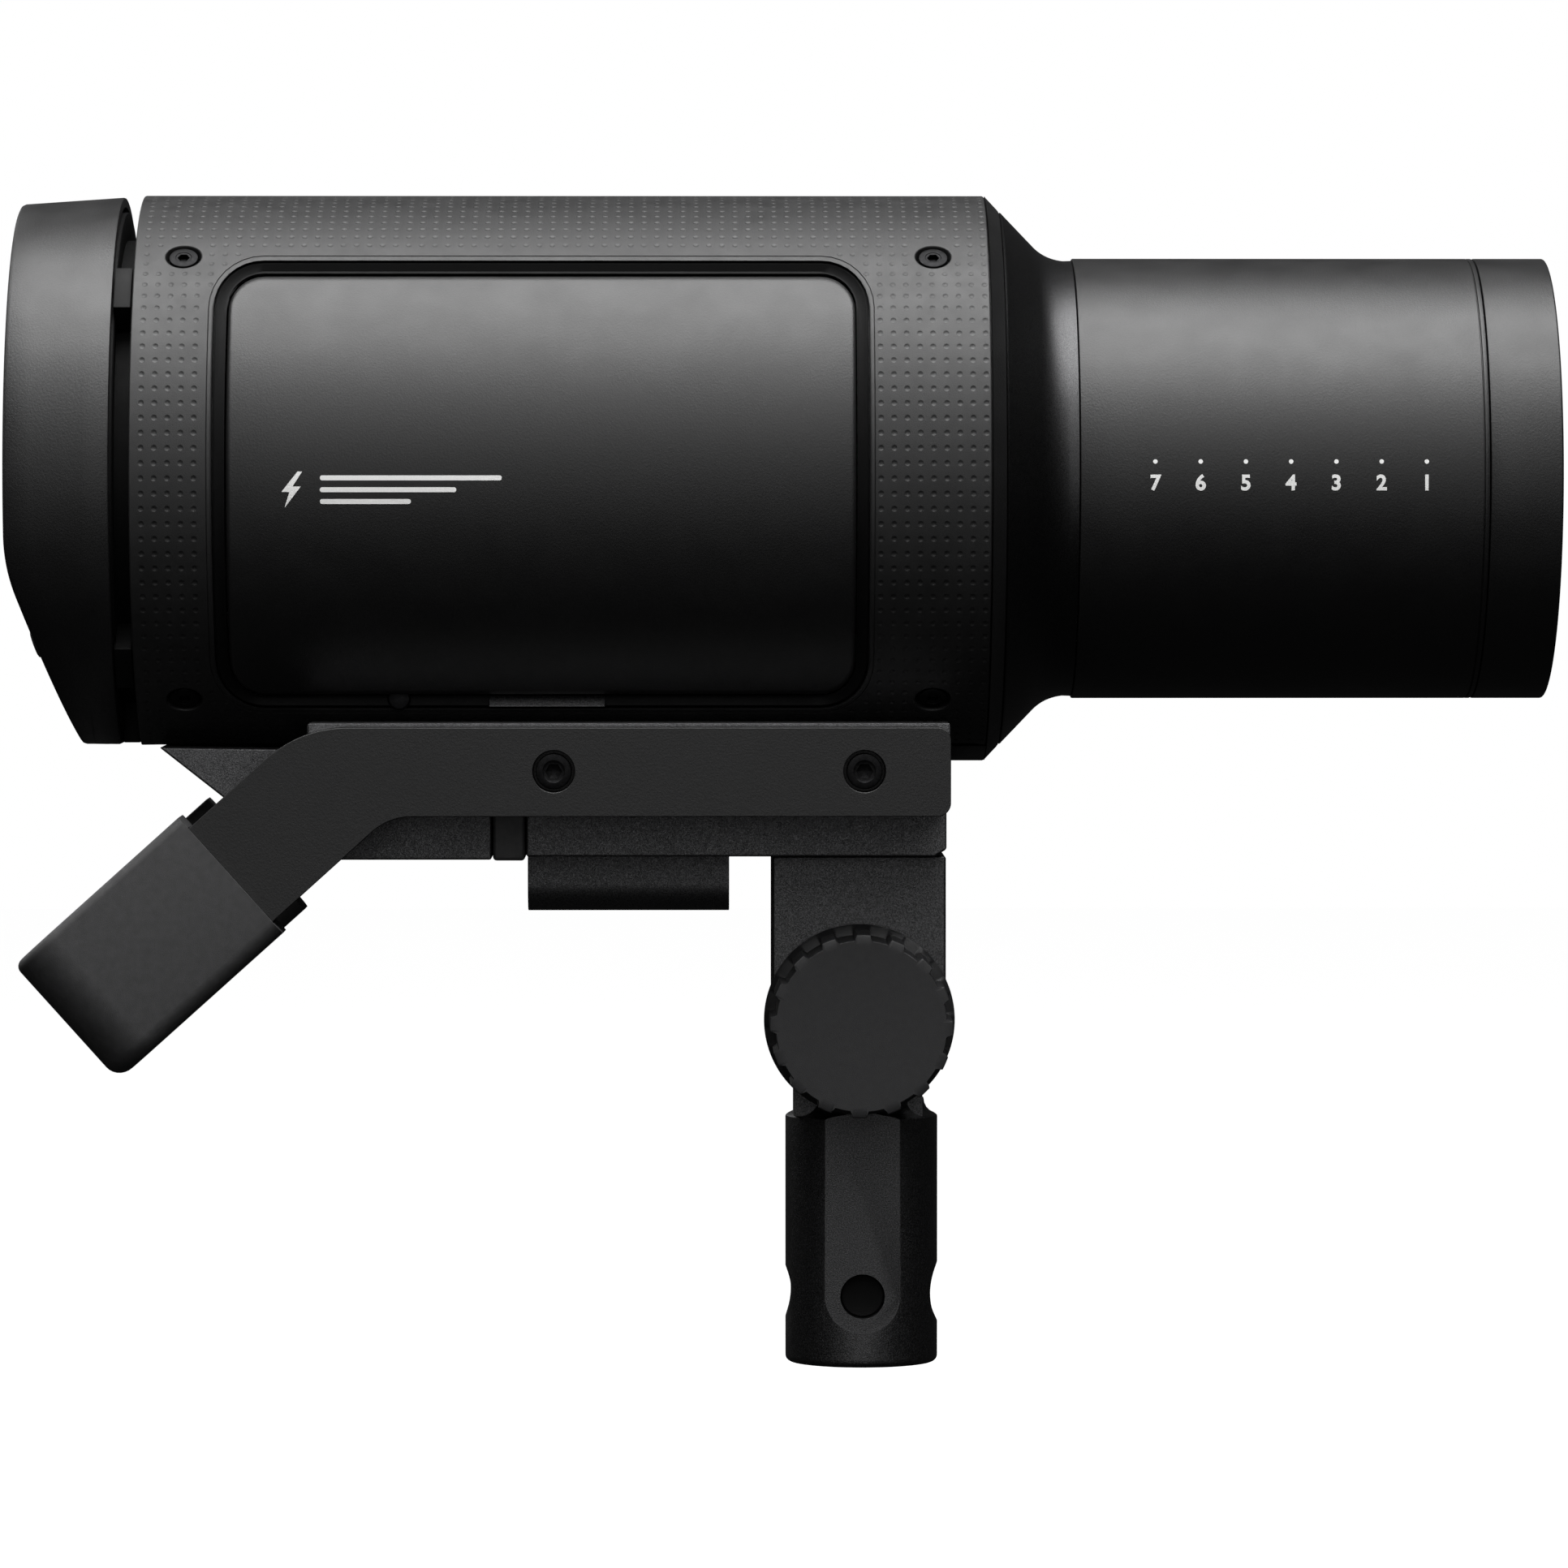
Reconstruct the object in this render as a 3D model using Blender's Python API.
"""Monolight strobe: a battery flash head on a tilting stand bracket, with a U-shaped rear handle.

The origin is the centre of the stand socket's mouth, +Z is up and +X is the way the light points.
Lengths are written in millimetres, and MM turns them into metres where a mesh is made.
"""

import math

import bmesh
import bpy
from mathutils import Matrix, Vector

MM = 0.001
GAP = 0.3
ROUND = 36
SMALL_ROUND = 14
ARC_STEPS = 4

# Head: everything round is centred on this height.
AXIS_Z = 201.5
COVER_R = 64.2
COVER_FLAT = 59.9
COVER_THICK = 2.5
COVER_REAR = -162.6
COVER_FRONT = 27.5
SHELL_R = COVER_R - COVER_THICK - GAP
SHELL_FLAT = COVER_FLAT - COVER_THICK - GAP
SHELL_THICK = 2.6
SHELL_REAR = -160.0
SHELL_FRONT = 18.7

# Side openings of the cover, and the curved panels that fill them. Heights are from the axis.
OPENING = (-144.4, 0.6, -51.2, 48.3)
OPENING_CORNER = 10.5
PANEL = (-141.2, -2.4, -48.1, 44.8)
PANEL_CORNER = 7.7
PANEL_R = 63.5
FACE_THICK = 3.8
BAY_CLEAR = 0.6
LATCH = (-84.0, -58.0)

# Battery pack behind the near panel, with its cells lying along the lamp.
CASE_INSET = 5.5
CASE_WALL = 2.0
CASE_BACK_Y = -14.0
CELL_R = 13.0
CELL_LENGTH = 60.0
CELL_Y = -32.0
CELL_ROWS = (-17.0, 14.0)
CELL_COLUMNS = (-103.0, -40.5)
BOARD_Y = 3.0

# Boards, capacitors and fan inside the head.
BOARD_THICK = 1.6
POWER_BOARD = (-130.0, 5.0, -42.0, 42.0)
CONTROL_BOARD = (-32.0, 32.0, -24.0, 44.0)
CONTROL_BOARD_X = -178.0
CAPACITOR_R = 17.0
CAPACITOR_X = (-120.0, -25.0)
CAPACITOR_Y = 30.0
CAPACITOR_Z = 21.0
FAN_HALF = 30.0
FAN_REAR = -157.0
FAN_FRONT = -142.0
FAN_THROAT_R = 28.0
FAN_BLADE = 16.5
FAN_BLADES = 7

# Cover screws sit radially at these stations and angles above or below the horizontal.
COVER_SCREW_X = (-151.7, 15.1)
COVER_SCREW_ANGLE = 50.3
COVER_SCREW_HEAD_R = 3.25
COVER_SCREW_RECESS_R = 3.8
COVER_SCREW_SHANK_R = 1.6

# Rear hood with its control panel. The lower rear face leans forward.
HOOD_REAR = -190.5
HOOD_FRONT = -167.1
HOOD_R_REAR = 62.4
HOOD_R_FRONT = 64.0
HOOD_FLAT = 59.8
HOOD_THICK = 2.2
LEAN_TOP = -19.7
LEAN = 0.3625
LEAN_BLEND = 40.0
PANEL_RECESS = 0.8
REAR_PANEL_THICK = 3.0
DRUM_FLANGE_R = 60.4
DRUM_FLANGE_FLAT = 56.9
DRUM_R = 54.0
DRUM_FLAT = 52.0
DRUM_WALL = 4.0
DRUM_POST_R = 63.2
DRUM_POST_ANGLE = 42.3
DRUM_POST_HALF = 5.2
DRUM_FOOT_HALF = 19.0
DRUM_FOOT_LOW = 59.5
DIAL_Z = -6.0
DIAL_R = 11.5
DIAL_DISH_R = 13.0
DIAL_DISH_DEPTH = 5.0
BUTTON_R = 4.5
BUTTON_Y = 30.0
POWER_Z = -36.3
POWER_R = 3.5
POWER_STAND = 4.2
DISPLAY = (-28.0, 28.0, 9.0, 44.0)

# Front: ring, cone and the barrel that takes light shapers.
RING_REAR = 19.0
RING_FRONT = 27.9
CONE_REAR = 30.9
CONE_REAR_R = 60.5
CONE_BEND = ((39.2, 52.4), (41.5, 50.6), (44.5, 49.6))
CONE_FRONT = 47.4
CONE_FRONT_R = 49.5
THROAT_REAR = 41.0
THROAT_R = 46.5
BARREL_R = 50.0
BARREL_WALL = 3.0
BARREL_REAR = 47.7
BARREL_FRONT = 138.6
TRIM_REAR = 138.9
TRIM_FRONT = 155.0
TRIM_WALL = 4.0
TRIM_EDGE = 0.45
GROOVE_X = 137.5
GROOVE_HALF = 0.3
GROOVE_DEPTH = 0.4

# Lamp: (station, radius) down each turned piece, and the tube's ring.
GLASS_LINE = ((147.0, 45.6), (149.5, 45.6), (151.5, 38.0), (152.8, 26.0), (153.3, 10.0))
DISH_FRONT_LINE = ((146.0, 45.6), (146.0, 44.0), (130.0, 38.5), (118.0, 26.0))
DISH_BACK_LINE = ((116.0, 26.0), (128.5, 40.0), (142.0, 45.6))
LAMP_BASE_LINE = ((108.0, 44.0), (115.7, 44.0))
LED_LINE = ((116.0, 18.0), (121.0, 18.0), (121.0, 11.0), (124.5, 8.0))
TUBE_X = 135.0
TUBE_R = 3.5
TUBE_RING_R = 31.5
TUBE_GAP = math.radians(14)
TUBE_STEPS = 24

# Stand bracket and tilt.
PIVOT_X = -0.9
PIVOT_Z = 79.5
SOCKET_R = 17.35
SOCKET_TOP = 56.5
SOCKET_CHAMFER = 1.35
STUD_R = 8.0
STUD_DEPTH = 45.0
SOCKET_FLAT_Y = -15.1
SOCKET_FLAT_HALF = 8.55
SOCKET_HOLE_R = 5.06
SOCKET_HOLE_Z = 16.1
SCOOP_R = 14.0
SCOOP_DEPTH = 1.5
LOCK_KNOB_START = 18.0
LOCK_KNOB_END = 40.0
LOCK_KNOB_R = 14.5
SPINDLE_R = 4.7
TONGUE_HALF_Y = 10.0
TONGUE_R = 14.6
CHEEK_IN = 11.6
CHEEK_OUT = 20.0
YOKE_R = 19.6
YOKE_WEB_Z = 98.7
BOLT_R = 5.0
BOLT_HEAD_R = 8.5
BOLT_END = -36.0
BOLT_HOLE_R = 5.25
WASHER_R = 14.0
KNOB_R = 20.3
KNOB_FLANGE_R = 21.6
KNOB_BACK = -20.6
KNOB_FRONT = -47.0
KNOB_NOTCHES = 16
KNOB_NOTCH_DEPTH = 1.3
KNOB_NOTCH_PHASE = 10.0

# Rail, umbrella holder and base under the head.
RAIL = (-75.8, 18.5)
RAIL_HALF_Y = 31.0
RAIL_BOTTOM = 116.7
RAIL_TOP = 128.0
HOLDER = (-75.9, -30.2)
HOLDER_HALF_Y = 10.0
HOLDER_BOTTOM = 103.3
UMBRELLA_R = 4.25
UMBRELLA_Z = 109.9
CLAMP_X = -53.0
CRADLE = (-124.0, 18.7)
CRADLE_HALF_Y = 51.7
CRADLE_TOP = 147.2
KEEL_BOTTOM = 116.0
KEEL_REAR_TOP = -158.1
KEEL_REAR_BOTTOM = -125.9
KEEL_FRONT = -83.6
KEEL_HALF_Y = 31.0

# Handle: two plate arms and a U-shaped rubber grip on a slope.
ARM_OUT = 60.0
ARM_IN = 52.0
ARM_TOP = 146.5
ARM_BOTTOM = 126.8
ARM_FRONT = 18.6
ARM_BEND_LOW = -105.6
ARM_BEND_HIGH = -125.1
ARM_HALF_WIDTH = 13.85
ARM_SCREW_X = (-69.2, -0.5)
ARM_SCREW_Z = 136.8
ARM_SCREW_HEAD_R = 3.95
ARM_SCREW_BORE_R = 4.65
ARM_SCREW_SHANK_R = 2.5
SLOPE = math.radians(41.9)
GRIP_START = 28.5
GRIP_END = 78.3
GRIP_MID = 178.6
GRIP_HALF_WIDTH = 17.2
GRIP_OUT = 62.0
GRIP_IN = 44.0
GRIP_BAR = 27.0
GRIP_EDGE = 3.0
GRIP_CORNER_OUT = 12.0
GRIP_CORNER_IN = 8.0
ARM_INSERT = 18.0

COLOURS = {
    "rubber": ((0.018, 0.018, 0.019), 0.6, 0.0),
    "grained_plastic": ((0.03, 0.03, 0.032), 0.5, 0.0),
    "gloss_plastic": ((0.012, 0.012, 0.013), 0.15, 0.0),
    "casting": ((0.045, 0.045, 0.047), 0.5, 0.6),
    "screw_steel": ((0.05, 0.05, 0.052), 0.35, 0.9),
    "aluminium": ((0.75, 0.75, 0.76), 0.3, 1.0),
    "nylon": ((0.7, 0.69, 0.65), 0.5, 0.0),
    "circuit_board": ((0.02, 0.12, 0.05), 0.5, 0.0),
    "capacitor_sleeve": ((0.02, 0.04, 0.12), 0.35, 0.0),
    "cell_wrap": ((0.05, 0.2, 0.35), 0.35, 0.0),
    "quartz": ((0.9, 0.92, 0.94), 0.05, 0.0),
    "frosted_glass": ((0.85, 0.87, 0.88), 0.4, 0.0),
    "display": ((0.01, 0.012, 0.015), 0.08, 0.0),
    "led": ((0.95, 0.8, 0.25), 0.4, 0.0),
}


def make_materials():
    made = {}
    for name, (colour, roughness, metallic) in COLOURS.items():
        surface = bpy.data.materials.new(name)
        surface.use_nodes = True
        shader = surface.node_tree.nodes["Principled BSDF"]
        shader.inputs["Base Color"].default_value = (*colour, 1.0)
        shader.inputs["Roughness"].default_value = roughness
        shader.inputs["Metallic"].default_value = metallic
        surface.diffuse_color = (*colour, 1.0)
        made[name] = surface
    return made


# ---------------------------------------------------------------- outlines


def circle(radius, count=ROUND, centre=(0.0, 0.0), phase=0.0):
    points = []
    for i in range(count):
        angle = 2 * math.pi * i / count + phase
        points.append((centre[0] + radius * math.cos(angle), centre[1] + radius * math.sin(angle)))
    return points


def flat_circle(radius, flat, count=ROUND):
    """A circle about the lamp's axis whose lowest part is cut flat. Points are (y, z)."""
    half = math.acos(flat / radius)
    start = -math.pi / 2 + half
    sweep = 2 * math.pi - 2 * half
    points = []
    for i in range(count):
        angle = start + sweep * i / (count - 1)
        points.append((radius * math.cos(angle), AXIS_Z + radius * math.sin(angle)))
    return points


def rounded(corners, steps=ARC_STEPS):
    """The outline through (u, v, radius) corners, each turned into an arc of its radius."""
    points = []
    for i, (u, v, radius) in enumerate(corners):
        corner = Vector((u, v))
        if radius <= 0:
            points.append((u, v))
            continue
        before = (Vector(corners[i - 1][:2]) - corner).normalized()
        after = (Vector(corners[(i + 1) % len(corners)][:2]) - corner).normalized()
        half = before.angle(after) / 2
        centre = corner + (before + after).normalized() * radius / math.sin(half)
        first = corner + before * radius / math.tan(half) - centre
        last = corner + after * radius / math.tan(half) - centre
        turn = math.atan2(first.x * last.y - first.y * last.x, first.dot(last))
        for step in range(steps + 1):
            arm = Matrix.Rotation(turn * step / steps, 2) @ first
            points.append((centre.x + arm.x, centre.y + arm.y))
    return points


def rounded_box(left, right, low, high, radius, steps=ARC_STEPS):
    corners = [(left, low, radius), (right, low, radius), (right, high, radius), (left, high, radius)]
    return rounded(corners, steps)


def notched_circle(radius, depth, notches, phase, width=0.5):
    """A circle with square notches; each takes this share of its pitch."""
    points = []
    pitch = 2 * math.pi / notches
    for k in range(notches):
        middle = phase + k * pitch
        half = pitch * width / 2
        points.append((radius * math.cos(middle - half), radius * math.sin(middle - half)))
        for share in (-0.8, 0.8):
            angle = middle + half * share
            inner = radius - depth
            points.append((inner * math.cos(angle), inner * math.sin(angle)))
        points.append((radius * math.cos(middle + half), radius * math.sin(middle + half)))
    return points


# ---------------------------------------------------------------- solids


def placed(axis, along, u, v):
    """The point at this station of an axis: (u, v) is (y, z), (x, z) or (x, y)."""
    if axis == "X":
        return (along, u, v)
    if axis == "Y":
        return (u, along, v)
    return (u, v, along)


def make_object(name, points, faces, material, origin=(0.0, 0.0, 0.0)):
    mesh = bpy.data.meshes.new(name)
    mesh.from_pydata([[(p - o) * MM for p, o in zip(point, origin)] for point in points], [], faces)
    shape = bmesh.new()
    shape.from_mesh(mesh)
    bmesh.ops.recalc_face_normals(shape, faces=shape.faces)
    shape.to_mesh(mesh)
    shape.free()
    mesh.materials.append(MATERIALS[material])
    mesh.shade_smooth()
    mesh.set_sharp_from_angle(angle=math.radians(35))
    thing = bpy.data.objects.new(name, mesh)
    thing.location = [o * MM for o in origin]
    bpy.context.scene.collection.objects.link(thing)
    return thing


def loft(name, loops, material, origin=(0.0, 0.0, 0.0), cyclic=False):
    """A solid through loops of equal length, capped at both ends or closed round on itself."""
    count = len(loops[0])
    points = [point for loop in loops for point in loop]
    spans = len(loops) if cyclic else len(loops) - 1
    faces = []
    for k in range(spans):
        low = k * count
        high = ((k + 1) % len(loops)) * count
        for i in range(count):
            j = (i + 1) % count
            faces.append((low + i, low + j, high + j, high + i))
    if not cyclic:
        faces.append(tuple(range(count)))
        faces.append(tuple(range((len(loops) - 1) * count, len(loops) * count)))
    return make_object(name, points, faces, material, origin)


def prism(name, outline, axis, low, high, material, origin=(0.0, 0.0, 0.0)):
    loops = [[placed(axis, along, u, v) for u, v in outline] for along in (low, high)]
    return loft(name, loops, material, origin)


def block(name, low, high, material):
    outline = [(low[0], low[1]), (high[0], low[1]), (high[0], high[1]), (low[0], high[1])]
    return prism(name, outline, "Z", low[2], high[2], material)


def turned(name, profile, axis, centre, material, count=ROUND, origin=None, ring=False):
    """A turned piece: (station, radius) pairs about an axis through centre, as a solid or a ring."""
    loops = []
    for station, radius in profile:
        outline = circle(radius, count, centre)
        loops.append([placed(axis, station, u, v) for u, v in outline])
    if origin is None:
        origin = placed(axis, profile[0][0], *centre)
    return loft(name, loops, material, origin, cyclic=ring)


def about_lamp(name, profile, material, count=ROUND, ring=False):
    return turned(name, profile, "X", (0.0, AXIS_Z), material, count, ring=ring)


def joined(name, things, material):
    """One helper mesh from several closed pieces that don't touch."""
    points = []
    faces = []
    for thing in things:
        first = len(points)
        points.extend([[c / MM for c in thing.matrix_basis @ v.co] for v in thing.data.vertices])
        faces.extend([tuple(first + i for i in face.vertices) for face in thing.data.polygons])
        bpy.data.objects.remove(thing, do_unlink=True)
    return make_object(name, points, faces, material)


def cutter(thing):
    thing.hide_render = True
    thing.display_type = "WIRE"
    return thing


def combine(target, tool, operation="DIFFERENCE"):
    cutter(tool)
    modifier = target.modifiers.new(f"{operation.lower()}_{tool.name}", "BOOLEAN")
    modifier.operation = operation
    modifier.object = tool
    return target


def soften(target, width, segments=2, angle=50.0):
    modifier = target.modifiers.new("edges", "BEVEL")
    modifier.width = width * MM
    modifier.segments = segments
    modifier.limit_method = "ANGLE"
    modifier.angle_limit = math.radians(angle)
    return target


def radial(angle_deg, side):
    """The unit direction across the lamp at this angle above the horizontal, on side -1 or +1 of Y."""
    angle = math.radians(angle_deg)
    return Vector((0.0, side * math.cos(angle), math.sin(angle)))


def radial_pin(name, x, direction, profile, material, count):
    """A turned piece whose (radius from the lamp's axis, own radius) profile runs along a radius."""
    side = Vector((1.0, 0.0, 0.0))
    other = direction.cross(side)
    foot = Vector((x, 0.0, AXIS_Z))
    loops = []
    for reach, radius in profile:
        middle = foot + direction * reach
        loops.append([tuple(middle + side * u + other * v) for u, v in circle(radius, count)])
    return loft(name, loops, material, tuple(foot + direction * profile[0][0]))


def on_slope(along, across):
    """The (x, z) of a point given along and across the handle's slope."""
    return (
        -along * math.cos(SLOPE) - across * math.sin(SLOPE),
        -along * math.sin(SLOPE) + across * math.cos(SLOPE),
    )


# ---------------------------------------------------------------- stand bracket


def make_stand_socket():
    profile = [
        (SOCKET_TOP, SOCKET_R),
        (SOCKET_CHAMFER, SOCKET_R),
        (0.0, SOCKET_R - SOCKET_CHAMFER),
        (0.0, STUD_R),
        (STUD_DEPTH, STUD_R),
    ]
    socket = turned("stand_socket", profile, "Z", (0.0, 0.0), "casting", origin=(0.0, 0.0, 0.0))
    left = PIVOT_X - TONGUE_R
    right = PIVOT_X + TONGUE_R
    top = PIVOT_Z + TONGUE_R
    foot = SOCKET_TOP - 0.5
    radius = TONGUE_R - 0.01
    corners = [(left, foot, 0), (right, foot, 0), (right, top, radius), (left, top, radius)]
    tongue = prism("tongue_helper", rounded(corners, 8), "Y", -TONGUE_HALF_Y, TONGUE_HALF_Y, "casting")
    combine(socket, tongue, "UNION")
    half = SOCKET_FLAT_HALF
    low = SOCKET_HOLE_Z - half
    corners = [(-half, 60.0, 0), (-half, low, half - 0.01), (half, low, half - 0.01), (half, 60.0, 0)]
    flat = prism("flat_cutter", rounded(corners), "Y", -25.0, SOCKET_FLAT_Y, "casting")
    combine(socket, flat)
    scoops = []
    for side in (-1, 1):
        x = side * (SOCKET_R - SCOOP_DEPTH + SCOOP_R)
        outline = circle(SCOOP_R, SMALL_ROUND, (x, SOCKET_HOLE_Z))
        scoops.append(prism("scoop", outline, "Y", -25.0, 25.0, "casting"))
    combine(socket, joined("scoop_cutter", scoops, "casting"))
    outline = circle(SOCKET_HOLE_R, SMALL_ROUND, (0.0, SOCKET_HOLE_Z))
    combine(socket, prism("lock_hole", outline, "Y", -25, 25, "casting"))
    outline = circle(BOLT_HOLE_R, SMALL_ROUND, (PIVOT_X, PIVOT_Z))
    combine(socket, prism("pivot_hole", outline, "Y", -25, 25, "casting"))


def make_stand_lock_knob():
    outline = notched_circle(LOCK_KNOB_R, 1.6, 8, 0.0, 0.4)
    smaller = [(0.93 * u, 0.93 * v) for u, v in outline]
    stations = [
        (LOCK_KNOB_START, smaller),
        (LOCK_KNOB_START + 1.5, outline),
        (LOCK_KNOB_END - 1.5, outline),
        (LOCK_KNOB_END, smaller),
    ]
    centre = (0.0, SOCKET_HOLE_Z)
    loops = [[placed("Y", y, u, v + SOCKET_HOLE_Z) for u, v in line] for y, line in stations]
    knob = loft("stand_lock_knob", loops, "gloss_plastic", (0.0, LOCK_KNOB_START, SOCKET_HOLE_Z))
    profile = [(STUD_R + 0.4, SPINDLE_R), (LOCK_KNOB_START + 2, SPINDLE_R)]
    spindle = turned("spindle_helper", profile, "Y", centre, "screw_steel", SMALL_ROUND)
    combine(knob, spindle, "UNION")


def make_tilt_hardware():
    centre = (PIVOT_X, PIVOT_Z)
    pivot = (PIVOT_X, 0.0, PIVOT_Z)
    seat = CHEEK_OUT + GAP
    profile = [(BOLT_END, BOLT_R), (seat, BOLT_R), (seat, BOLT_HEAD_R), (CHEEK_OUT + 7.0, BOLT_HEAD_R)]
    turned("tilt_bolt", profile, "Y", centre, "screw_steel", SMALL_ROUND, pivot)
    for name, side in (("friction_washer_near", -1), ("friction_washer_far", 1)):
        inner = side * (TONGUE_HALF_Y + GAP)
        outer = side * (CHEEK_IN - GAP)
        profile = [(inner, WASHER_R), (outer, WASHER_R), (outer, BOLT_HOLE_R), (inner, BOLT_HOLE_R)]
        turned(name, profile, "Y", centre, "nylon", SMALL_ROUND, pivot, ring=True)
    phase = math.radians(KNOB_NOTCH_PHASE)
    notched = notched_circle(KNOB_R, KNOB_NOTCH_DEPTH, KNOB_NOTCHES, phase)
    flange = []
    for u, v in notched:
        length = math.hypot(u, v)
        flange.append((u / length * KNOB_FLANGE_R, v / length * KNOB_FLANGE_R))
    face = [(u * 0.975, v * 0.975) for u, v in notched]
    stations = [
        (KNOB_BACK, flange),
        (KNOB_BACK - 2.0, flange),
        (KNOB_BACK - 3.0, notched),
        (KNOB_FRONT + 0.6, notched),
        (KNOB_FRONT, face),
    ]
    loops = [[placed("Y", y, u + PIVOT_X, v + PIVOT_Z) for u, v in line] for y, line in stations]
    knob = loft("tilt_knob", loops, "gloss_plastic", (PIVOT_X, KNOB_BACK, PIVOT_Z))
    outline = circle(BOLT_HOLE_R, SMALL_ROUND, centre)
    combine(knob, prism("knob_bore", outline, "Y", BOLT_END - 0.5, 0.0, "casting"))


def make_yoke():
    left = PIVOT_X - YOKE_R
    right = PIVOT_X + YOKE_R
    low = PIVOT_Z - YOKE_R
    top = RAIL_BOTTOM - GAP
    radius = YOKE_R - 0.01
    corners = [(left, top, 1.0), (left, low, radius), (right, low, radius), (right, top, 1.0)]
    yoke = prism("yoke", rounded(corners, 8), "Y", -CHEEK_OUT, CHEEK_OUT, "casting")
    slot_low = (left - 5, -CHEEK_IN, low - 5)
    slot_high = (right + 5, CHEEK_IN, YOKE_WEB_Z)
    combine(yoke, block("yoke_slot", slot_low, slot_high, "casting"))
    outline = circle(BOLT_HOLE_R, SMALL_ROUND, (PIVOT_X, PIVOT_Z))
    combine(yoke, prism("cheek_holes", outline, "Y", -25, 25, "casting"))
    shaft = circle(UMBRELLA_R, SMALL_ROUND, (0.0, UMBRELLA_Z))
    combine(yoke, prism("shaft_hole", shaft, "X", left - 5, right + 5, "casting"))


def make_rail():
    front = RAIL[1]
    corners = [
        (RAIL[0], RAIL_BOTTOM),
        (front - 2.7, RAIL_BOTTOM),
        (front, RAIL_BOTTOM + 1.6),
        (front, RAIL_TOP),
        (RAIL[0], RAIL_TOP),
    ]
    prism("mounting_rail", corners, "Y", -RAIL_HALF_Y, RAIL_HALF_Y, "casting")
    low = (KEEL_FRONT + GAP, -RAIL_HALF_Y, 115.8)
    high = (RAIL[0] - GAP, RAIL_HALF_Y, RAIL_TOP)
    block("rail_stop", low, high, "grained_plastic")


def make_umbrella_holder():
    half = HOLDER_HALF_Y
    top = RAIL_BOTTOM - GAP
    corners = [(half, top, 0), (-half, top, 0), (-half, HOLDER_BOTTOM, 6.5), (half, HOLDER_BOTTOM, 6.5)]
    holder = prism("umbrella_holder", rounded(corners, 5), "X", *HOLDER, "casting")
    shaft = circle(UMBRELLA_R, SMALL_ROUND, (0.0, UMBRELLA_Z))
    combine(holder, prism("holder_bore", shaft, "X", HOLDER[0] - 5, HOLDER[1] + 5, "casting"))
    centre = (CLAMP_X, UMBRELLA_Z)
    combine(holder, prism("clamp_hole", circle(2.4, SMALL_ROUND, centre), "Y", 0.0, 20.0, "casting"))
    profile = [
        (UMBRELLA_R + 0.4, 2.1),
        (half + 0.5, 2.1),
        (half + 0.5, 6.0),
        (half + 9.0, 6.0),
        (half + 10.0, 5.2),
    ]
    origin = (CLAMP_X, 0.0, UMBRELLA_Z)
    turned("umbrella_clamp_screw", profile, "Y", centre, "screw_steel", SMALL_ROUND, origin)


# ---------------------------------------------------------------- base and handle


def arm_screw_places():
    return [(x, side) for side in (-1, 1) for x in ARM_SCREW_X]


def make_base():
    reach = COVER_R + GAP
    flat = COVER_FLAT + GAP
    start = math.asin((AXIS_Z - CRADLE_TOP) / reach)
    end = math.asin(flat / reach)
    arc = []
    for i in range(6):
        angle = start + (end - start) * i / 5
        arc.append((reach * math.cos(angle), AXIS_Z - reach * math.sin(angle)))
    half = CRADLE_HALF_Y
    low = RAIL_TOP + GAP
    outline = [(-half, low), (half, low), (half, CRADLE_TOP)] + arc
    outline += [(-y, z) for y, z in reversed(arc)] + [(-half, CRADLE_TOP)]
    base = prism("base_casting", outline, "X", *CRADLE, "casting")
    top = AXIS_Z - flat
    corners = [
        (KEEL_REAR_TOP, top),
        (KEEL_REAR_BOTTOM, KEEL_BOTTOM),
        (KEEL_FRONT, KEEL_BOTTOM),
        (KEEL_FRONT, top - 1.0),
    ]
    keel = prism("keel_helper", corners, "Y", -KEEL_HALF_Y, KEEL_HALF_Y, "casting")
    combine(base, keel, "UNION")
    holes = []
    for x, side in arm_screw_places():
        outline = circle(ARM_SCREW_SHANK_R + 0.35, SMALL_ROUND, (x, ARM_SCREW_Z))
        ends = sorted((side * 38.0, side * 53.0))
        holes.append(prism("hole", outline, "Y", *ends, "casting"))
    combine(base, joined("base_screw_holes", holes, "casting"))


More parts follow.
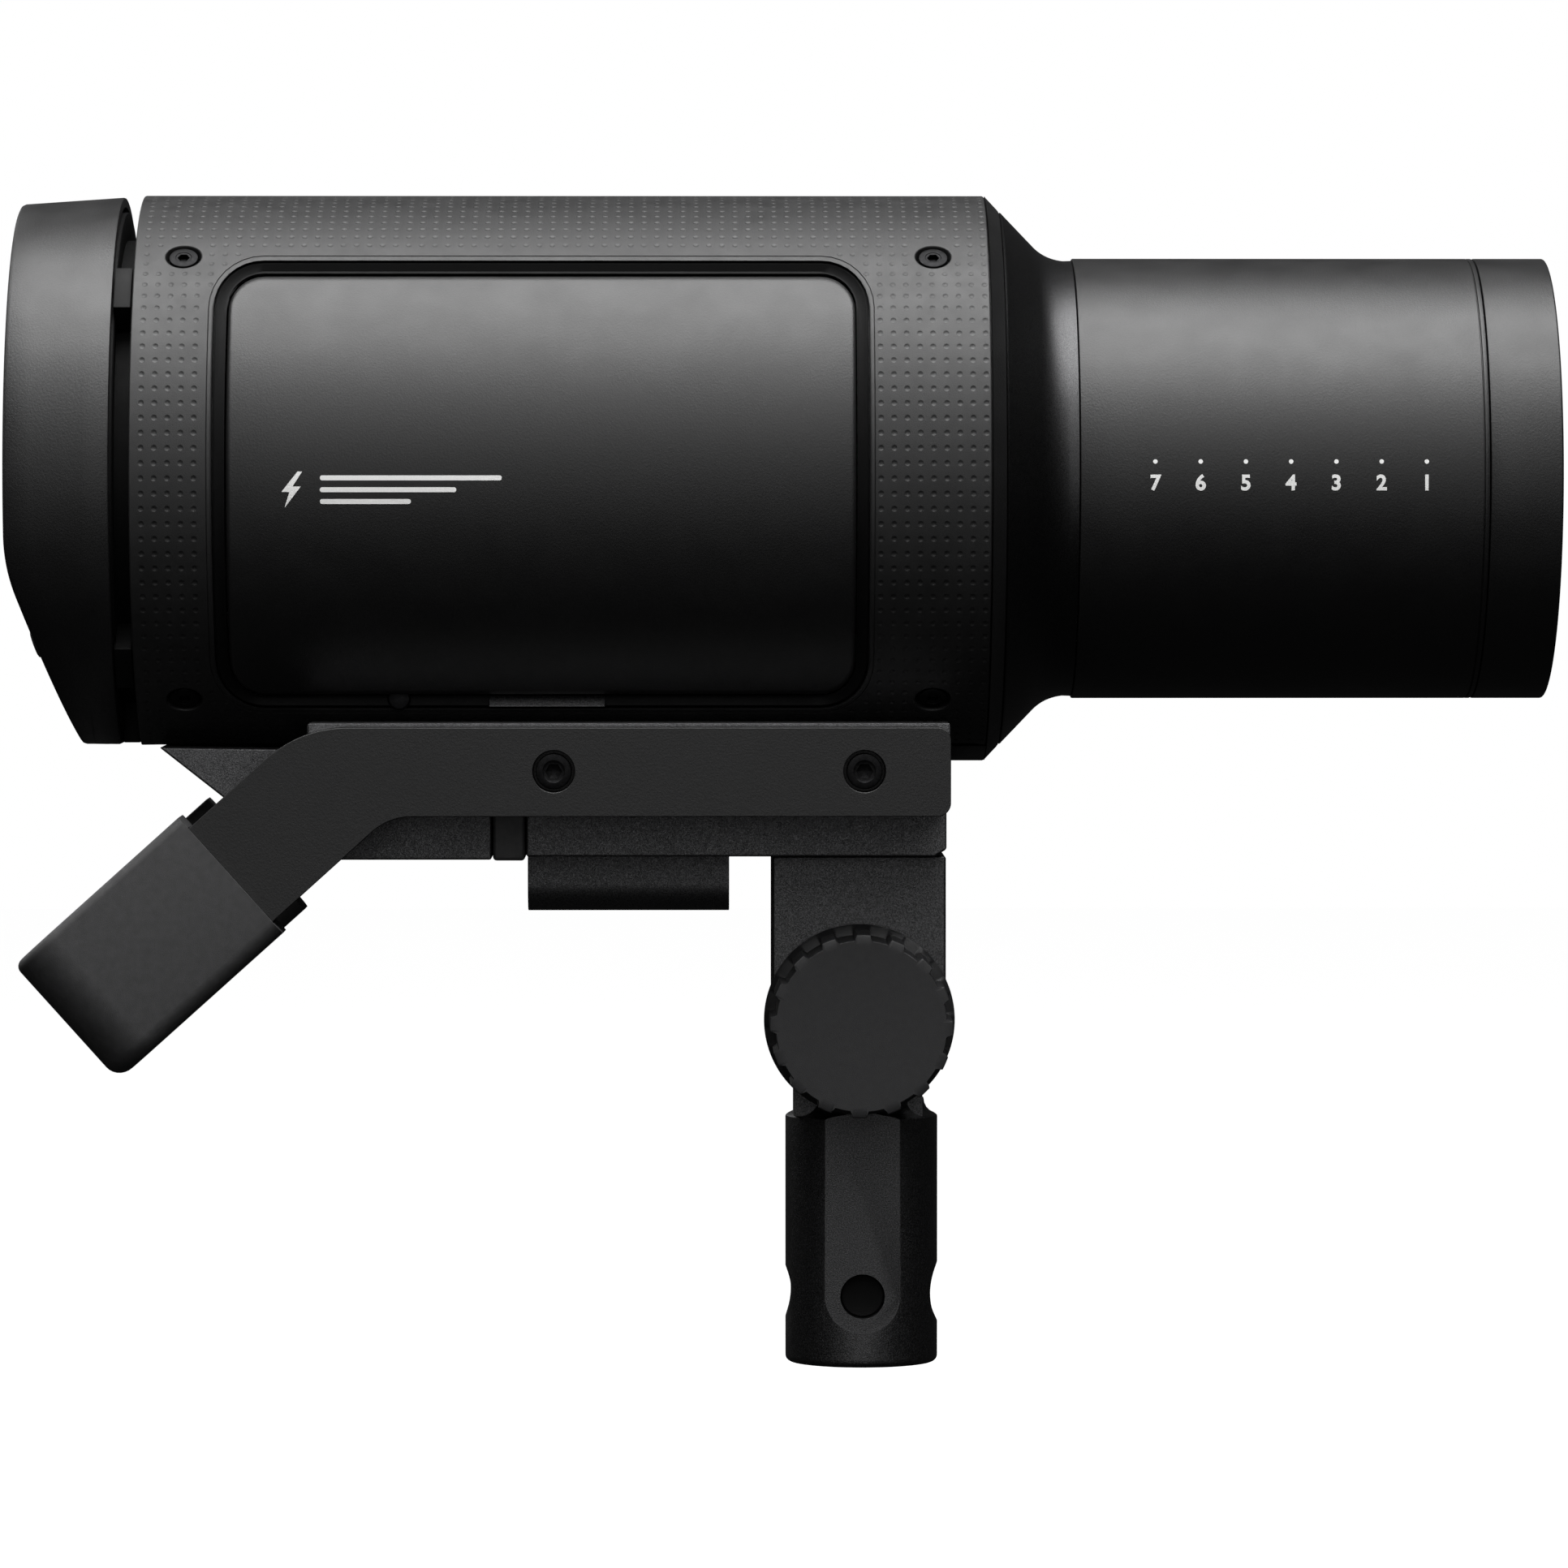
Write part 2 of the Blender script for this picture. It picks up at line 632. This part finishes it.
def make_arms():
    end = GRIP_START + ARM_INSERT
    low_end = on_slope(end, GRIP_MID - ARM_HALF_WIDTH)
    high_end = on_slope(end, GRIP_MID + ARM_HALF_WIDTH)
    corners = [
        (ARM_FRONT, ARM_TOP, 3.0),
        (ARM_FRONT, ARM_BOTTOM, 3.0),
        (ARM_BEND_LOW, ARM_BOTTOM, 13.0),
        (*low_end, 0),
        (*high_end, 0),
        (ARM_BEND_HIGH, ARM_TOP, 27.0),
    ]
    outline = rounded(corners, 6)
    for name, side in (("handle_arm_right", -1), ("handle_arm_left", 1)):
        ends = sorted((side * ARM_IN, side * ARM_OUT))
        arm = prism(name, outline, "Y", *ends, "grained_plastic")
        holes = []
        for x in ARM_SCREW_X:
            centre = (x, ARM_SCREW_Z)
            profile = [
                (side * (ARM_IN - 3), ARM_SCREW_SHANK_R + 0.35),
                (side * (ARM_OUT - 4.5), ARM_SCREW_SHANK_R + 0.35),
                (side * (ARM_OUT - 4.5), ARM_SCREW_BORE_R),
                (side * (ARM_OUT + 3), ARM_SCREW_BORE_R),
            ]
            holes.append(turned("bore", profile, "Y", centre, "casting", SMALL_ROUND))
        combine(arm, joined(f"{name}_bores", holes, "casting"))
    for i, (x, side) in enumerate(arm_screw_places()):
        profile = [
            (side * 39.0, ARM_SCREW_SHANK_R),
            (side * (ARM_OUT - 4.2), ARM_SCREW_SHANK_R),
            (side * (ARM_OUT - 4.2), ARM_SCREW_HEAD_R),
            (side * (ARM_OUT - 0.6), ARM_SCREW_HEAD_R),
        ]
        centre = (x, ARM_SCREW_Z)
        origin = (x, side * ARM_OUT, ARM_SCREW_Z)
        screw = turned(f"arm_screw_{i + 1}", profile, "Y", centre, "screw_steel", SMALL_ROUND, origin)
        ends = sorted((side * (ARM_OUT - 3.0), side * ARM_OUT))
        combine(screw, prism(f"arm_hex_{i + 1}", circle(2.0, 6, centre), "Y", *ends, "casting"))


def grip_outline(inset):
    """The grip's U seen square on, its edges drawn in by the inset but its open end left alone."""
    end = GRIP_END - inset
    out = GRIP_OUT - inset
    inside = GRIP_IN + inset
    bar = GRIP_START + GRIP_BAR + inset
    corners = [
        (GRIP_START, -out, 0),
        (end, -out, GRIP_CORNER_OUT - inset),
        (end, out, GRIP_CORNER_OUT - inset),
        (GRIP_START, out, 0),
        (GRIP_START, inside, 0),
        (bar, inside, GRIP_CORNER_IN + inset),
        (bar, -inside, GRIP_CORNER_IN + inset),
        (GRIP_START, -inside, 0),
    ]
    return rounded(corners, 5)


def make_grip():
    """The grip is drawn in the plane of its slope, as (distance along it, y), then made thick."""
    loops = []
    flat_half = GRIP_HALF_WIDTH - GRIP_EDGE
    sections = (
        (-GRIP_HALF_WIDTH, GRIP_EDGE),
        (-flat_half, 0.0),
        (flat_half, 0.0),
        (GRIP_HALF_WIDTH, GRIP_EDGE),
    )
    for across, inset in sections:
        loop = []
        for along, y in grip_outline(inset):
            x, z = on_slope(along, GRIP_MID + across)
            loop.append((x, y, z))
        loops.append(loop)
    grip = loft("handle_grip", loops, "rubber", (*on_slope(GRIP_START, 0), 0.0))
    pockets = []
    clear = ARM_HALF_WIDTH + GAP
    for side in (-1, 1):
        ends = sorted((side * (ARM_IN - GAP), side * (ARM_OUT + GAP)))
        outline = [
            on_slope(GRIP_START - 6.0, GRIP_MID - clear),
            on_slope(GRIP_START + ARM_INSERT + GAP, GRIP_MID - clear),
            on_slope(GRIP_START + ARM_INSERT + GAP, GRIP_MID + clear),
            on_slope(GRIP_START - 6.0, GRIP_MID + clear),
        ]
        pockets.append(prism("pocket", outline, "Y", *ends, "rubber"))
    combine(grip, joined("grip_pockets", pockets, "rubber"))


# ---------------------------------------------------------------- body


def in_side(name, window, corner, low, high, grow=0.0):
    """A prism through the side of the head, with a rounded window of (x, x, height, height)."""
    left, right, bottom, top = window
    outline = rounded_box(
        left - grow, right + grow, AXIS_Z + bottom - grow, AXIS_Z + top + grow, corner + grow
    )
    return prism(name, outline, "Y", low, high, "rubber")


def cover_screw_places():
    places = []
    for side in (-1, 1):
        for angle in (COVER_SCREW_ANGLE, -COVER_SCREW_ANGLE):
            places.extend([(x, radial(angle, side)) for x in COVER_SCREW_X])
    return places


def radial_cutters(name, radius, low, high):
    pins = []
    for x, direction in cover_screw_places():
        pins.append(radial_pin("pin", x, direction, [(low, radius), (high, radius)], "rubber", 12))
    return joined(name, pins, "rubber")


def make_cover():
    sections = [
        (COVER_REAR, COVER_R, COVER_FLAT),
        (COVER_FRONT, COVER_R, COVER_FLAT),
        (COVER_FRONT, SHELL_R + GAP, SHELL_FLAT + GAP),
        (COVER_REAR, SHELL_R + GAP, SHELL_FLAT + GAP),
    ]
    loops = [[placed("X", x, y, z) for y, z in flat_circle(radius, flat)] for x, radius, flat in sections]
    cover = loft("grip_cover", loops, "rubber", (0.0, 0.0, AXIS_Z), cyclic=True)
    combine(cover, in_side("cover_windows", OPENING, OPENING_CORNER, -80, 80))
    combine(cover, radial_cutters("cover_recesses", COVER_SCREW_RECESS_R, 59.0, 68.0))


def make_shell():
    inner = SHELL_R - SHELL_THICK
    inner_flat = SHELL_FLAT - SHELL_THICK
    sections = [
        (SHELL_REAR, SHELL_R, SHELL_FLAT),
        (SHELL_FRONT, SHELL_R, SHELL_FLAT),
        (SHELL_FRONT, inner, inner_flat),
        (SHELL_REAR, inner, inner_flat),
    ]
    loops = [[placed("X", x, y, z) for y, z in flat_circle(radius, flat)] for x, radius, flat in sections]
    shell = loft("body_shell", loops, "grained_plastic", (0.0, 0.0, AXIS_Z), cyclic=True)
    combine(shell, in_side("bay_window", PANEL, PANEL_CORNER, -80, -5, BAY_CLEAR))
    combine(shell, radial_cutters("shell_screw_holes", COVER_SCREW_SHANK_R + 0.3, 54.0, 66.0))


def make_cover_screws():
    for i, (x, direction) in enumerate(cover_screw_places()):
        profile = [
            (54.5, COVER_SCREW_SHANK_R),
            (SHELL_R + GAP, COVER_SCREW_SHANK_R),
            (SHELL_R + GAP, COVER_SCREW_HEAD_R),
            (COVER_R - 0.7, COVER_SCREW_HEAD_R),
        ]
        screw = radial_pin(f"cover_screw_{i + 1}", x, direction, profile, "screw_steel", 16)
        hexagon = [(COVER_R - 1.9, 1.5), (COVER_R + 1.0, 1.5)]
        combine(screw, radial_pin(f"cover_hex_{i + 1}", x, direction, hexagon, "casting", 6))


def curved_panel(name, side, material):
    """A plate of even thickness that follows the lamp's round side, cut to the panel's window."""
    profile = [(-160, PANEL_R), (20, PANEL_R), (20, PANEL_R - FACE_THICK), (-160, PANEL_R - FACE_THICK)]
    if side > 0:
        inner = SHELL_R + GAP
        profile = [(-160, PANEL_R), (20, PANEL_R), (20, inner), (-160, inner)]
    panel = about_lamp(name, profile, material, ring=True)
    ends = sorted((side * 30.0, side * 80.0))
    window = in_side(f"{name}_window", PANEL, PANEL_CORNER, *ends)
    return combine(panel, window, "INTERSECT")


def make_battery():
    curved_panel("battery_face", -1, "grained_plastic")
    left, right, bottom, top = PANEL
    case_window = (left + CASE_INSET, right - CASE_INSET, bottom + CASE_INSET, top - CASE_INSET)
    case = in_side("battery_case", case_window, 4.0, -80.0, CASE_BACK_Y)
    case.data.materials[0] = MATERIALS["grained_plastic"]
    limit = PANEL_R - FACE_THICK - GAP
    combine(case, about_lamp("case_limit", [(-160, limit), (20, limit)], "rubber"), "INTERSECT")
    hollow = in_side("case_hollow", case_window, 4.0, -80.0, CASE_BACK_Y - CASE_WALL, -CASE_WALL)
    combine(case, hollow)
    number = 0
    for x in CELL_COLUMNS:
        for height in CELL_ROWS:
            number += 1
            ends = (x - CELL_LENGTH / 2, x + CELL_LENGTH / 2)
            centre = (CELL_Y, AXIS_Z + height)
            profile = [(ends[0], CELL_R), (ends[1] - 1.5, CELL_R), (ends[1] - 1.5, 4.0), (ends[1], 4.0)]
            turned(f"battery_cell_{number}", profile, "X", centre, "cell_wrap", SMALL_ROUND)
    low = (-80.0, CASE_BACK_Y + GAP, AXIS_Z - 12.0)
    high = (-60.0, BOARD_Y - GAP, AXIS_Z + 12.0)
    block("battery_connector", low, high, "gloss_plastic")
    bottom_gap = AXIS_Z + OPENING[2]
    low = (LATCH[0], -40.3, bottom_gap + GAP)
    high = (LATCH[1], -38.3, AXIS_Z + PANEL[2] - GAP)
    soften(block("battery_latch", low, high, "screw_steel"), 0.4, 1)


def make_far_panel():
    curved_panel("far_side_panel", 1, "grained_plastic")


# ---------------------------------------------------------------- rear


def rear_outline(shift, reach=80.0):
    """The rear face seen from the side, moved forward by this much: upright above, leaning below."""
    x = HOOD_REAR + shift
    foot = x + LEAN * (reach + LEAN_TOP)
    return [(x, AXIS_Z + reach, 0), (x, AXIS_Z + LEAN_TOP, LEAN_BLEND), (foot, AXIS_Z - reach, 0)]


def make_hood():
    slope = (HOOD_R_FRONT - HOOD_R_REAR) / (HOOD_FRONT - HOOD_REAR)
    start = HOOD_REAR - 2.0
    radius = HOOD_R_REAR - 2.0 * slope
    sections = [
        (start, radius, HOOD_FLAT),
        (HOOD_FRONT, HOOD_R_FRONT, HOOD_FLAT),
        (HOOD_FRONT, HOOD_R_FRONT - HOOD_THICK, HOOD_FLAT - HOOD_THICK),
        (start, radius - HOOD_THICK, HOOD_FLAT - HOOD_THICK),
    ]
    loops = [[placed("X", x, y, z) for y, z in flat_circle(r, flat)] for x, r, flat in sections]
    hood = loft("rear_hood", loops, "grained_plastic", (HOOD_FRONT, 0.0, AXIS_Z), cyclic=True)
    corners = rear_outline(0.0) + [(HOOD_REAR - 20, AXIS_Z - 80, 0), (HOOD_REAR - 20, AXIS_Z + 80, 0)]
    combine(hood, prism("hood_trim", rounded(corners, 6), "Y", -90, 90, "casting"))


def lean_normal():
    """The outward direction of the leaning part of the rear face."""
    return Vector((-1.0, 0.0, -LEAN)).normalized()


def lean_pin(name, profile, material, count=SMALL_ROUND):
    """A turned piece on the leaning face; its stations are distances out from the hood's rear plane."""
    normal = lean_normal()
    across = Vector((0.0, 1.0, 0.0))
    other = normal.cross(across)
    foot = Vector((HOOD_REAR + LEAN * (LEAN_TOP - POWER_Z), 0.0, AXIS_Z + POWER_Z))
    loops = []
    for station, radius in profile:
        middle = foot + normal * station
        loops.append([tuple(middle + across * u + other * v) for u, v in circle(radius, count)])
    return loft(name, loops, material, tuple(foot))


def make_rear_panel():
    radius = HOOD_R_REAR - HOOD_THICK - 0.5
    outline = flat_circle(radius, HOOD_FLAT - HOOD_THICK - GAP)
    panel = prism("rear_panel", outline, "X", HOOD_REAR - 4, HOOD_REAR + 26, "grained_plastic")
    front = rear_outline(PANEL_RECESS)
    back = rear_outline(PANEL_RECESS + REAR_PANEL_THICK)
    band = rounded(front + list(reversed(back)), 6)
    combine(panel, prism("panel_band", band, "Y", -90, 90, "casting"), "INTERSECT")
    face = HOOD_REAR + PANEL_RECESS
    dish_floor = face + DIAL_DISH_DEPTH
    centre = (0.0, AXIS_Z + DIAL_Z)
    boss = [(face + 1.5, DIAL_DISH_R + 2), (dish_floor + 2.5, DIAL_DISH_R + 2)]
    combine(panel, turned("dial_boss", boss, "X", centre, "casting", 32), "UNION")
    dish = [(face - 3, DIAL_DISH_R), (dish_floor, DIAL_DISH_R), (dish_floor, 3.3), (dish_floor + 6, 3.3)]
    combine(panel, turned("dial_dish", dish, "X", centre, "casting", 32))
    pocket = rounded_box(DISPLAY[0], DISPLAY[1], AXIS_Z + DISPLAY[2], AXIS_Z + DISPLAY[3], 3.0)
    combine(panel, prism("display_pocket", pocket, "X", face - 3, face + 1.3, "casting"))
    holes = []
    for side in (-1, 1):
        spot = (side * BUTTON_Y, AXIS_Z + DIAL_Z)
        profile = [(face - 3, BUTTON_R + GAP), (face + 6, BUTTON_R + GAP)]
        holes.append(turned("hole", profile, "X", spot, "casting", 20))
    holes.append(lean_pin("hole", [(-6.0, POWER_R + GAP), (5.0, POWER_R + GAP)], "casting"))
    combine(panel, joined("button_holes", holes, "casting"))
    left, right, low, high = DISPLAY
    glass = rounded_box(left + GAP, right - GAP, AXIS_Z + low + GAP, AXIS_Z + high - GAP, 2.7)
    prism("display_glass", glass, "X", face - 0.2, face + 1.0, "display")
    outline = notched_circle(DIAL_R, 0.7, 20, 0.0, 0.5)
    smaller = [(0.95 * u, 0.95 * v) for u, v in outline]
    stations = [(HOOD_REAR + 0.2, smaller), (HOOD_REAR + 0.9, outline), (dish_floor - GAP, outline)]
    loops = [[placed("X", x, u, v + AXIS_Z + DIAL_Z) for u, v in line] for x, line in stations]
    dial = loft("control_dial", loops, "gloss_plastic", (dish_floor, 0.0, AXIS_Z + DIAL_Z))
    stem = [(dish_floor - 2, 3.0), (dish_floor + 5, 3.0)]
    combine(dial, turned("dial_stem", stem, "X", centre, "casting", SMALL_ROUND), "UNION")
    for name, side in (("menu_button", 1), ("test_button", -1)):
        spot = (side * BUTTON_Y, AXIS_Z + DIAL_Z)
        profile = [
            (HOOD_REAR + 0.2, BUTTON_R - 0.5),
            (HOOD_REAR + 0.7, BUTTON_R),
            (face + REAR_PANEL_THICK + GAP, BUTTON_R),
            (face + REAR_PANEL_THICK + GAP, BUTTON_R + 1.2),
            (face + REAR_PANEL_THICK + 1.5, BUTTON_R + 1.2),
        ]
        turned(name, profile, "X", spot, "gloss_plastic", SMALL_ROUND)
    profile = [
        (POWER_STAND, POWER_R - 0.5),
        (POWER_STAND - 0.6, POWER_R),
        (-5.0, POWER_R),
        (-5.0, POWER_R + 1.2),
        (-6.3, POWER_R + 1.2),
    ]
    lean_pin("power_button", profile, "gloss_plastic")


def make_drum():
    """A narrow drum with a flange inside the hood, and posts that hold the hood off the body."""
    step = HOOD_FRONT + 0.6
    front = SHELL_REAR - GAP
    sections = [
        (HOOD_FRONT - 4.5, DRUM_FLANGE_R, DRUM_FLANGE_FLAT),
        (step, DRUM_FLANGE_R, DRUM_FLANGE_FLAT),
        (step, DRUM_R, DRUM_FLAT),
        (front, DRUM_R, DRUM_FLAT),
        (front, DRUM_R - DRUM_WALL, DRUM_FLAT - DRUM_WALL),
        (HOOD_FRONT - 4.5, DRUM_R - DRUM_WALL, DRUM_FLAT - DRUM_WALL),
    ]
    loops = [[placed("X", x, y, z) for y, z in flat_circle(r, flat)] for x, r, flat in sections]
    drum = loft("rear_drum", loops, "grained_plastic", (HOOD_FRONT, 0.0, AXIS_Z), cyclic=True)
    posts = []
    root = DRUM_R - 2.0
    low = HOOD_FRONT + GAP
    high = COVER_REAR - GAP
    for middle in (DRUM_POST_ANGLE, 180 - DRUM_POST_ANGLE, 180 + DRUM_POST_ANGLE, -DRUM_POST_ANGLE):
        sector = []
        for radius, share in ((root, -1), (DRUM_POST_R, -1), (DRUM_POST_R, 1), (root, 1)):
            angle = math.radians(middle + share * DRUM_POST_HALF)
            sector.append((radius * math.cos(angle), AXIS_Z + radius * math.sin(angle)))
        posts.append(prism("post", sector, "X", low, high, "casting"))
    foot = [
        (-DRUM_FOOT_HALF, AXIS_Z - DRUM_FOOT_LOW),
        (DRUM_FOOT_HALF, AXIS_Z - DRUM_FOOT_LOW),
        (DRUM_FOOT_HALF, AXIS_Z - DRUM_FLAT + 2.0),
        (-DRUM_FOOT_HALF, AXIS_Z - DRUM_FLAT + 2.0),
    ]
    posts.append(prism("post", foot, "X", low, high, "casting"))
    combine(drum, joined("drum_posts", posts, "casting"), "UNION")


def make_fan():
    half = FAN_HALF
    outline = rounded_box(-half, half, AXIS_Z - half, AXIS_Z + half, 4.0)
    frame = prism("fan_frame", outline, "X", FAN_REAR, FAN_FRONT, "gloss_plastic")
    throat = [(FAN_REAR - 2, FAN_THROAT_R), (FAN_FRONT + 2, FAN_THROAT_R)]
    combine(frame, about_lamp("fan_throat", throat, "casting"))
    outline = notched_circle(FAN_THROAT_R - 0.7, FAN_BLADE, FAN_BLADES, 0.0, 0.62)
    blades = (FAN_REAR + 2, FAN_FRONT - 2)
    loops = [[placed("X", x, u, v + AXIS_Z) for u, v in outline] for x in blades]
    loft("fan_rotor", loops, "gloss_plastic", (FAN_REAR, 0.0, AXIS_Z))


def make_electronics():
    profile = [(x, CAPACITOR_R) for x in CAPACITOR_X]
    for i, side in enumerate((-1, 1)):
        centre = (CAPACITOR_Y, AXIS_Z + side * CAPACITOR_Z)
        turned(f"capacitor_{i + 1}", profile, "X", centre, "capacitor_sleeve", 28)
    left, right, bottom, top = POWER_BOARD
    low = (left, BOARD_Y, AXIS_Z + bottom)
    high = (right, BOARD_Y + BOARD_THICK, AXIS_Z + top)
    block("power_board", low, high, "circuit_board")
    left, right, bottom, top = CONTROL_BOARD
    low = (CONTROL_BOARD_X, left, AXIS_Z + bottom)
    high = (CONTROL_BOARD_X + BOARD_THICK, right, AXIS_Z + top)
    block("control_board", low, high, "circuit_board")


# ---------------------------------------------------------------- front


def make_front_housing():
    profile = [
        (RING_REAR, COVER_R),
        (RING_FRONT, COVER_R),
        (CONE_REAR, COVER_R - (CONE_REAR - RING_FRONT)),
        (CONE_REAR, CONE_REAR_R),
        *CONE_BEND,
        (CONE_FRONT, CONE_FRONT_R),
        (CONE_FRONT, THROAT_R),
        (THROAT_REAR, THROAT_R + 1.5),
        (RING_REAR, SHELL_R - SHELL_THICK),
    ]
    housing = about_lamp("front_housing", profile, "gloss_plastic", ring=True)
    rear = RING_REAR - 2
    front = RING_FRONT - 0.1
    sleeve = [(rear, 70), (front, 70), (front, SHELL_R), (rear, SHELL_R)]
    relief = about_lamp("cover_relief", sleeve, "casting", ring=True)
    keep = block("ring_foot", (0, -80, AXIS_Z - 80), (60, 80, AXIS_Z - COVER_FLAT - GAP), "casting")
    combine(relief, keep)
    combine(housing, relief)
    low = (rear, -30, AXIS_Z - COVER_FLAT - GAP)
    high = (front, 30, AXIS_Z - SHELL_FLAT)
    combine(housing, block("flat_relief", low, high, "casting"))


def make_barrel():
    inner = BARREL_R - BARREL_WALL
    profile = [
        (BARREL_REAR, BARREL_R),
        (GROOVE_X - GROOVE_HALF, BARREL_R),
        (GROOVE_X, BARREL_R - GROOVE_DEPTH),
        (GROOVE_X + GROOVE_HALF, BARREL_R),
        (BARREL_FRONT, BARREL_R),
        (BARREL_FRONT, inner),
        (BARREL_REAR, inner),
    ]
    about_lamp("barrel", profile, "grained_plastic", ring=True)
    inner = BARREL_R - TRIM_WALL
    profile = [
        (TRIM_REAR, BARREL_R),
        (TRIM_FRONT - TRIM_EDGE, BARREL_R),
        (TRIM_FRONT, BARREL_R - TRIM_EDGE),
        (TRIM_FRONT, inner),
        (TRIM_REAR, inner),
    ]
    about_lamp("barrel_trim_ring", profile, "grained_plastic", ring=True)


def make_lamp():
    about_lamp("front_glass", GLASS_LINE, "frosted_glass")
    about_lamp("reflector", DISH_FRONT_LINE + DISH_BACK_LINE, "aluminium", ring=True)
    about_lamp("lamp_base", LAMP_BASE_LINE, "nylon")
    about_lamp("modelling_light", LED_LINE, "led", 28)
    along = Vector((1.0, 0.0, 0.0))
    loops = []
    for i in range(TUBE_STEPS):
        angle = -math.pi / 2 + TUBE_GAP + (2 * math.pi - 2 * TUBE_GAP) * i / (TUBE_STEPS - 1)
        out = Vector((0.0, math.cos(angle), math.sin(angle)))
        middle = Vector((TUBE_X, 0.0, AXIS_Z)) + out * TUBE_RING_R
        loops.append([tuple(middle + out * u + along * v) for u, v in circle(TUBE_R, 8)])
    loft("flash_tube", loops, "quartz", (TUBE_X, 0.0, AXIS_Z))


for item in list(bpy.data.objects):
    bpy.data.objects.remove(item, do_unlink=True)
MATERIALS = make_materials()
make_stand_socket()
make_stand_lock_knob()
make_tilt_hardware()
make_yoke()
make_rail()
make_umbrella_holder()
make_base()
make_arms()
make_grip()
make_cover()
make_shell()
make_cover_screws()
make_battery()
make_far_panel()
make_hood()
make_rear_panel()
make_drum()
make_fan()
make_electronics()
make_front_housing()
make_barrel()
make_lamp()
